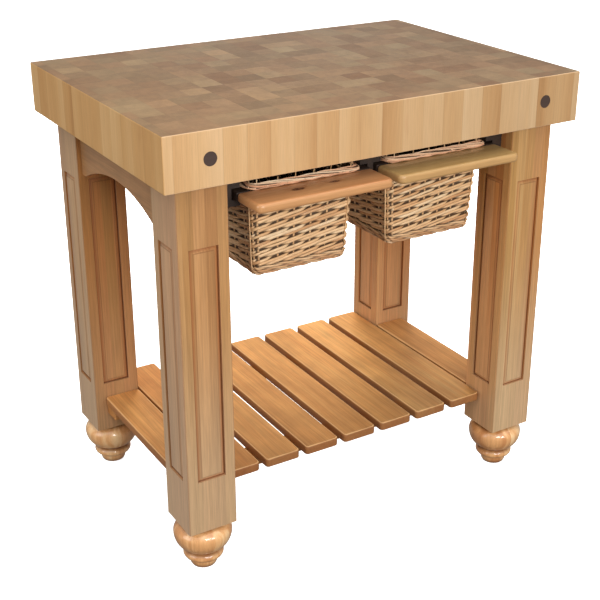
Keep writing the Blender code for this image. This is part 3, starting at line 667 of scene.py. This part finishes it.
# Rods' numbers, which set their tones. Those below LOOSE_RODS are drawn at random.
LOOSE_RODS, STAKE_RODS, TIP_RODS, CANE_RODS, PAIR_RODS, STICK_RODS = 900, 1000, 1060, 1080, 1100, 1200
CORE_RODS, FRONT_ROD, TIE_ROD, FILLER_ROD, PACKING_RODS = 1300, 1320, 1330, 1390, 1400


class Basket:
    """A tapered box with round corners, which gives points by station, height and depth."""

    def __init__(self, node):
        low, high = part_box(node)
        self.centre = (low + high) / 2
        self.base = low.z
        self.rim_low = high.z - RIM_HEIGHT
        self.half_x = (high.x - low.x) / 2 - RIM_OUT
        self.half_y = (high.y - low.y) / 2 - RIM_OUT

    def inset(self, height):
        drop = max(0.0, (self.rim_low - height) / (self.rim_low - self.base))
        rounding = max(0.0, 1 - (height - self.base) / FOOT_ROUNDING[0])
        return TAPER * drop + FOOT_ROUNDING[1] * rounding ** 2

    def along(self, station):
        """The side at a fractional station, and the distance along it from its middle, at the rim."""
        station %= TURN
        whole = int(station)
        side, stake = STATIONS[whole]
        straight = (self.half_x if side % 2 == 0 else self.half_y) - WALL_CORNER
        places = [-straight, *SIDES[side][2], straight, straight + WALL_CORNER * math.pi / 2]
        return side, places[stake] + (places[stake + 1] - places[stake]) * (station - whole)

    def at(self, station, height, out):
        """A point on the wall, and which way is outward there."""
        side, place = self.along(station)
        outward, forward, _ = SIDES[side]
        inset = self.inset(height)
        half, depth = (self.half_x, self.half_y) if side % 2 == 0 else (self.half_y, self.half_x)
        straight = half - WALL_CORNER
        turned = max(0.0, place - straight) / WALL_CORNER
        normal = outward * math.cos(turned) + forward * math.sin(turned)
        point = forward * min(place, straight) * (straight - inset) / straight
        point += outward * (depth - inset - WALL_CORNER) + normal * (WALL_CORNER + out)
        point += Vector((self.centre.x, self.centre.y, 0))
        point.z = height
        return point, normal

    def on_rim(self, station, out, rise):
        """A point above the tray's upper face."""
        point = self.at(station, self.rim_low, out)[0]
        point.z = self.rim_low + rise
        return point


class Rods:
    """One mesh of many closed rods. Each point has its rod's number and how much painted shade it gets,
    from how far it is tucked in and how near it lies to the next rod.
    """

    def __init__(self):
        self.points, self.faces, self.strands, self.recesses = [], [], [], []

    def skin(self, rings, strand, recess):
        sides = len(rings[0])
        start = len(self.points)
        for number, ring in enumerate(rings):
            self.points += ring
            self.strands += [strand] * sides
            self.recesses += recess[number]
            if number:
                first = start + (number - 1) * sides
                for i in range(sides):
                    a, b = first + i, first + (i + 1) % sides
                    self.faces.append((a, b, b + sides, a + sides))
        last = start + (len(rings) - 1) * sides
        self.faces.append(tuple(range(start + sides - 1, start - 1, -1)))
        self.faces.append(tuple(range(last, last + sides)))

    def rod(self, path, strand):
        """A flattened rod. path is a list of (centre, outward, half height, half depth, recess)."""
        rings, recesses = [], []
        angles = [math.tau * (i + 0.5) / ROD_SIDES for i in range(ROD_SIDES)]
        for centre, outward, half_height, half_depth, recess in path:
            ring, shades = [], []
            for angle in angles:
                across = Vector((0, 0, half_height * math.cos(angle)))
                ring.append(centre + across + outward * (half_depth * math.sin(angle)))
                tucked = recess if math.sin(angle) > 0 else 1 - recess
                edge = max(0.0, 0.7 - abs(math.sin(angle)))  # painted shade where it meets the next rod
                shades.append(min(1.0, tucked + 1.05 * edge))
            rings.append(ring)
            recesses.append(shades)
        self.skin(rings, strand, recesses)

    def bar(self, path, radius, strand, sides=6, recess=0.0):
        """A round rod along any path of points."""
        rings = []
        for i, centre in enumerate(path):
            ahead = (path[min(i + 1, len(path) - 1)] - path[max(i - 1, 0)]).normalized()
            first = ahead.cross(Vector((0, 0, 1)))
            if first.length < 0.1:
                first = ahead.cross(Vector((1, 0, 0)))
            first.normalize()
            second = ahead.cross(first)
            rings.append([centre + (first * math.cos(angle) + second * math.sin(angle)) * radius
                          for angle in (math.tau * j / sides for j in range(sides))])
        self.skin(rings, strand, [[recess] * sides] * len(path))

    def mesh(self, name):
        mesh = bpy.data.meshes.new(name)
        mesh.from_pydata(self.points, [], self.faces)
        for attribute, values in (("strand", self.strands), ("recess", self.recesses)):
            mesh.attributes.new(attribute, "FLOAT", "POINT").data.foreach_set("value", values)
        bm = bmesh.new()
        bm.from_mesh(mesh)
        bmesh.ops.recalc_face_normals(bm, faces=bm.faces)
        bm.to_mesh(mesh)
        bm.free()
        mesh.shade_smooth()
        mesh.set_sharp_from_angle(angle=math.radians(60))
        return mesh


def smooth(value):
    value = min(1.0, max(0.0, value))
    return value * value * (3 - 2 * value)


def all_round(steps):
    """Stations once round the basket, with that many steps from a stake to the next."""
    return [i / steps for i in range(TURN * steps + 1)]


def on_corner(station):
    """Whether a station is the last stake before a bend."""
    side, stake = STATIONS[station % TURN]
    return stake == len(SIDES[side][2]) + 1


def weave_walls(basket, rods, dice):
    """Each rod passes over two stakes and under one, and climbs one rod's height a stake."""
    low = basket.base + WEAVE_START
    high = basket.rim_low + 0.001
    rows = int((high - low) / ROW)
    for rod in range(-TURN, rows + 1):
        path = []
        strand = dice.random() * LOOSE_RODS
        width = dice.uniform(0.86, 1.16)
        sway = [dice.uniform(-0.0010, 0.0010) for _ in range(TURN + 2)]
        for station in all_round(10):
            height = low + (rod + station) * ROW
            if height < low - 0.0005 or height > high:
                if len(path) > 1:
                    rods.rod(path, strand)
                path = []
                continue
            phase = (station + rod) % 3
            from_under = min(phase, 3 - phase)
            over = smooth((from_under - 0.06) / 0.62)
            whole = int(station)
            if on_corner(whole):  # the bend shows more of the rods that are tucked in
                over = min(smooth((phase - 0.55) / 0.4), smooth((3 - phase - 0.25) / 0.5))
            drift = sway[whole] + (sway[whole + 1] - sway[whole]) * (station - whole)
            out = STAKES_OUT + ROD_DEPTH * (2 * over - 1)
            centre, outward = basket.at(station, height + drift, out)
            path.append((centre, outward, ROW * ROD_HALF_HEIGHT * width, ROD_HALF_DEPTH, 1 - over))
            if phase < 1e-6 and len(path) > 1:  # under a stake one rod ends and the next is laid in
                rods.rod(path, strand)
                strand = dice.random() * LOOSE_RODS
                path = [path[-1]]
        if len(path) > 1:
            rods.rod(path, strand)


def pack_walls(basket, rods):
    """Strips in the middle of the walls, painted dark as shade, so that no light shows through between
    the rods.
    """
    low = basket.base + WEAVE_START
    rise, thick = ROW * 0.6, 0.0005
    for row in range(int((basket.rim_low + 0.001 - low) / ROW) + 1):
        rings = []
        for station in all_round(4):
            centre, outward = basket.at(station, low + row * ROW, STAKES_OUT)
            rings.append([centre + Vector((0, 0, up)) + outward * depth for up, depth in
                          ((-rise, -thick), (rise, -thick), (rise, thick), (-rise, thick))])
        rods.skin(rings, PACKING_RODS + row, [[1.0] * 4] * len(rings))


def weave_stakes(basket, rods, dice):
    """Upright stakes, with a thin cane outside each bend, and cut tips that stand up behind the rim."""
    foot, cane_foot = basket.base + 0.004, basket.base + 0.003
    for station in range(TURN):
        tip = basket.rim_low + dice.uniform(0.013, 0.021)
        lean = dice.uniform(-0.05, 0.05)
        path = [basket.at(station, foot + (basket.rim_low - foot) * i / 7, STAKES_OUT)[0]
                for i in range(8)]
        path.append(basket.at(station, basket.rim_low + 0.006, STAKES_OUT + 0.002)[0])
        rods.bar(path, STAKE_RADIUS, STAKE_RODS + station)
        if on_corner(station):
            cane = [basket.at(station, cane_foot + (basket.rim_low - cane_foot) * i / 9, 0.0004)[0]
                    for i in range(10)]
            rods.bar(cane, CANE_RADIUS, CANE_RODS + station)
        ends = [basket.at(station, basket.rim_low + 0.003, STAKES_OUT + 0.004)[0],
                basket.at(station + lean, tip, STAKES_OUT + 0.005)[0]]
        rods.bar(ends, TIP_RADIUS, TIP_RODS + station)


def weave_base(basket, rods, dice):
    """Twisted pairs round the foot of the wall, and a flat woven bottom."""
    for row, height in enumerate(PAIR_HEIGHTS):
        for strand in range(2):
            path = []
            for station in all_round(8):
                angle = math.pi * station + math.pi * strand + row * 1.3
                rise = PAIR_WIND_HEIGHT * math.cos(angle)
                out = PAIR_OUT + PAIR_WIND_DEPTH * math.sin(angle)
                centre, outward = basket.at(station, basket.base + height + rise, out)
                # painted shade where one rod of the pair winds behind the other
                recess = 0.3 - 0.3 * math.sin(angle)
                path.append((centre, outward, PAIR_HALF_HEIGHT, PAIR_HALF_DEPTH, recess))
            rods.rod(path, PAIR_RODS + row * 2 + strand)
    half_x = basket.half_x - TAPER - BOTTOM_INSET
    half_y = basket.half_y - TAPER - BOTTOM_INSET
    count = int(2 * half_y / BOTTOM_PITCH)
    steps = BOTTOM_STICKS * 4
    level = basket.base + BOTTOM_HEIGHT
    for i in range(count):
        y = basket.centre.y - half_y + (i + 0.5) * 2 * half_y / count
        path = []
        for j in range(steps + 1):
            lift = STAKE_RADIUS * math.cos(math.pi * j / steps * BOTTOM_STICKS + math.pi * i)
            path.append(Vector((basket.centre.x - half_x + 2 * half_x * j / steps, y, level + lift)))
        rods.bar(path, BOTTOM_RADIUS, dice.random() * LOOSE_RODS, 5)
        ends = [Vector((basket.centre.x + sign * half_x, y + BOTTOM_PITCH / 2, level))
                for sign in (-1, 1)]
        # a filler in each gap of the bottom, painted dark as shade
        rods.bar(ends, FILLER_RADIUS, FILLER_ROD, 4, 1.0)
    for j in range(BOTTOM_STICKS):
        x = basket.centre.x - half_x + 2 * half_x * (j + 0.5) / BOTTOM_STICKS
        ends = [Vector((x, basket.centre.y + sign * (half_y + 0.004), level + 0.0002))
                for sign in (-1, 1)]
        rods.bar(ends, BOTTOM_RADIUS, STICK_RODS + j)


def weave_rim(basket, rods, dice):
    """A border on the tray: a core painted dark as shade, long rods laid over it, a thin one in front,
    and its ties.
    """
    for number, (out, rise, radius) in enumerate(RIM_CORES):
        path = [basket.on_rim(station, out, rise + 0.0005 * math.sin(station * 2.1 + number * 2))
                for station in all_round(6)]
        rods.bar(path, radius, CORE_RODS + number, recess=0.9)
    for station in range(TURN):
        start = station + dice.uniform(-0.15, 0.15)
        span = dice.uniform(3.6, 5.0)
        reach = dice.uniform(0.0080, 0.0096)
        sway = dice.uniform(-0.0006, 0.0006)
        path = []
        for i in range(25):
            t = i / 24  # the rod comes up behind the core and goes down in front of it
            rise = 0.0072 + 0.0014 * smooth(t / 0.15) - 0.0064 * smooth((t - 0.15) / 0.85)
            out = -0.0010 + (reach + 0.0010) * smooth((t - 0.05) / 0.6)
            path.append(basket.on_rim(start + span * t, out, rise + sway * math.sin(t * 9)))
        rods.bar(path, dice.uniform(0.0013, 0.0017), dice.random() * LOOSE_RODS, 5)
    path = []
    for station in all_round(6):
        wave = math.sin(station * math.tau)
        path.append(basket.on_rim(station, 0.0106 + 0.0003 * wave, 0.0020 + 0.0008 * wave))
    rods.bar(path, RIM_FRONT_RADIUS, FRONT_ROD, 5)
    for station in range(TURN):
        ends = [basket.on_rim(station + 0.3, 0.0075, 0.0050),
                basket.on_rim(station + 0.40, 0.0108, 0.0030 + dice.uniform(0, 0.002))]
        rods.bar(ends, RIM_TIE_RADIUS, TIE_ROD, 5)


WICKER_TONES = ((184, 126, 81), (219, 168, 117), (239, 193, 140), (249, 211, 162), (253, 231, 193))
# the rim's willow is a lighter copy: painted light that makes up for the shade under the top
RIM_LIT_TONES = ((226, 162, 120), (240, 186, 146), (250, 208, 168), (254, 234, 200))
WICKER = wicker_material("willow", WICKER_TONES)
RIM_LIT_WICKER = wicker_material("willow_rim_lit", RIM_LIT_TONES)
for side, seed in (("left", 3), ("right", 8)):
    dice = random.Random(seed)
    basket = Basket(f"{side}_basket_wicker")
    walls, rim = Rods(), Rods()
    weave_walls(basket, walls, dice)
    pack_walls(basket, walls)
    weave_stakes(basket, walls, dice)
    weave_base(basket, walls, dice)
    weave_rim(basket, rim, dice)
    put(f"{side}_woven_walls", walls.mesh(f"{side}_woven_walls"), WICKER, f"{side}_basket", "wicker",
        f"{side}_basket_wicker")
    put(f"{side}_woven_rim", rim.mesh(f"{side}_woven_rim"), RIM_LIT_WICKER, f"{side}_basket", "wicker")


# ---- Studio and camera ----------------------------------------------------------------------

# Each soft box's place, size and power. The first two are what the lacquered feet reflect.
SOFT_BOXES = (("front_box", (-0.8, -3.1, 1.7), 0.9, 36.0),
              ("second_box", (0.3, -3.3, 1.6), 0.9, 33.0),
              ("left_box", (-4.0, -0.4, 1.4), 2.2, 36.0),
              ("back_box", (1.5, 2.9, 1.7), 1.3, 140.0))
WORLD_STRENGTH = 0.48
WORLD_BELOW, WORLD_ABOVE = (158, 140, 124), (255, 255, 255)
SUN_STRENGTH, SUN_ANGLE, SUN_WAY = 1.6, math.radians(90), Vector((0.1, 0.15, -1.0))


def light_world():
    """Even light from all round, warmer and dimmer from below."""
    world = bpy.data.worlds.new("studio")
    SCENE.world = world
    world.use_nodes = True
    nodes = world.node_tree.nodes
    background = nodes["Background"]
    background.inputs["Strength"].default_value = WORLD_STRENGTH
    place = nodes.new("ShaderNodeTexCoord")
    parts = nodes.new("ShaderNodeSeparateXYZ")
    height = nodes.new("ShaderNodeMapRange")
    height.inputs["From Min"].default_value = -1.0
    ramp = nodes.new("ShaderNodeValToRGB")
    ramp.color_ramp.elements[0].color = srgb(*WORLD_BELOW)
    ramp.color_ramp.elements[1].color = srgb(*WORLD_ABOVE)
    for start, end in ((place.outputs["Generated"], parts.inputs[0]),
                       (parts.outputs["Z"], height.inputs[0]),
                       (height.outputs[0], ramp.inputs[0]),
                       (ramp.outputs[0], background.inputs["Color"])):
        world.node_tree.links.new(start, end)


def glowing_white(name, bm, whites, glow):
    """A plain surface for the studio that throws no light or reflection on the table."""
    mesh = bpy.data.meshes.new(name)
    bm.to_mesh(mesh)
    bm.free()
    thing = bpy.data.objects.new(name, mesh)
    SCENE.collection.objects.link(thing)
    paint = Paint(f"{name}_white", 0.9)
    mesh.materials.append(paint.finish(paint.ramp(paint.noise(paint.place, 0.2), *whites)))
    paint.shader.inputs["Emission Color"].default_value = (1.0, 1.0, 1.0, 1.0)
    paint.shader.inputs["Emission Strength"].default_value = glow
    thing.visible_diffuse = thing.visible_glossy = False  # the world's light comes up through it
    return thing


def studio():
    light_world()
    bm = bmesh.new()
    bmesh.ops.create_grid(bm, x_segments=1, y_segments=1, size=30)
    floor = glowing_white("floor", bm, ((252, 252, 252), (254, 254, 254)), 0.8)

    bm = bmesh.new()
    bmesh.ops.create_icosphere(bm, subdivisions=4, radius=28)
    backdrop = glowing_white("backdrop", bm, ((250, 250, 250), (252, 252, 252)), 0.9)
    backdrop.visible_shadow = False

    aim = Vector((0, TABLE_Y, 0.5))
    for name, place, size, power in SOFT_BOXES:
        data = bpy.data.lights.new(name, "AREA")
        data.size = size
        data.energy = power
        lamp = bpy.data.objects.new(name, data)
        lamp.location = place
        lamp.rotation_euler = (aim - lamp.location).to_track_quat("-Z", "Y").to_euler()
        lamp.visible_glossy = name != "back_box"
        SCENE.collection.objects.link(lamp)
    data = bpy.data.lights.new("overhead", "SUN")  # wide, so that the floor is evenly lit
    data.energy = SUN_STRENGTH
    data.angle = SUN_ANGLE
    lamp = bpy.data.objects.new("overhead", data)
    lamp.rotation_euler = SUN_WAY.to_track_quat("-Z", "Y").to_euler()
    SCENE.collection.objects.link(lamp)


CAMERA_PLACE = (-1.2121, -2.0210 + TABLE_Y, 1.4517)
CAMERA_YAW, CAMERA_PITCH, CAMERA_ROLL = math.radians(57.84), math.radians(-22.907), math.radians(0.356)
CAMERA_LENS = 70.73
CAMERA_SHIFT = (-0.0428, -0.0405)


def camera():
    ahead = Vector((math.cos(CAMERA_PITCH) * math.cos(CAMERA_YAW),
                    math.cos(CAMERA_PITCH) * math.sin(CAMERA_YAW), math.sin(CAMERA_PITCH)))
    level = ahead.cross(Vector((0, 0, 1))).normalized()
    up = level.cross(ahead)
    right = level * math.cos(CAMERA_ROLL) + up * math.sin(CAMERA_ROLL)
    above = up * math.cos(CAMERA_ROLL) - level * math.sin(CAMERA_ROLL)
    data = bpy.data.cameras.new("camera")
    data.lens = CAMERA_LENS
    data.sensor_width = 36.0
    data.shift_x, data.shift_y = CAMERA_SHIFT
    thing = bpy.data.objects.new("camera", data)
    axes = Matrix((right, above, -ahead)).transposed().to_4x4()
    thing.matrix_world = Matrix.Translation(CAMERA_PLACE) @ axes
    SCENE.collection.objects.link(thing)
    SCENE.camera = thing


studio()
camera()
SCENE.view_settings.view_transform = "Standard"
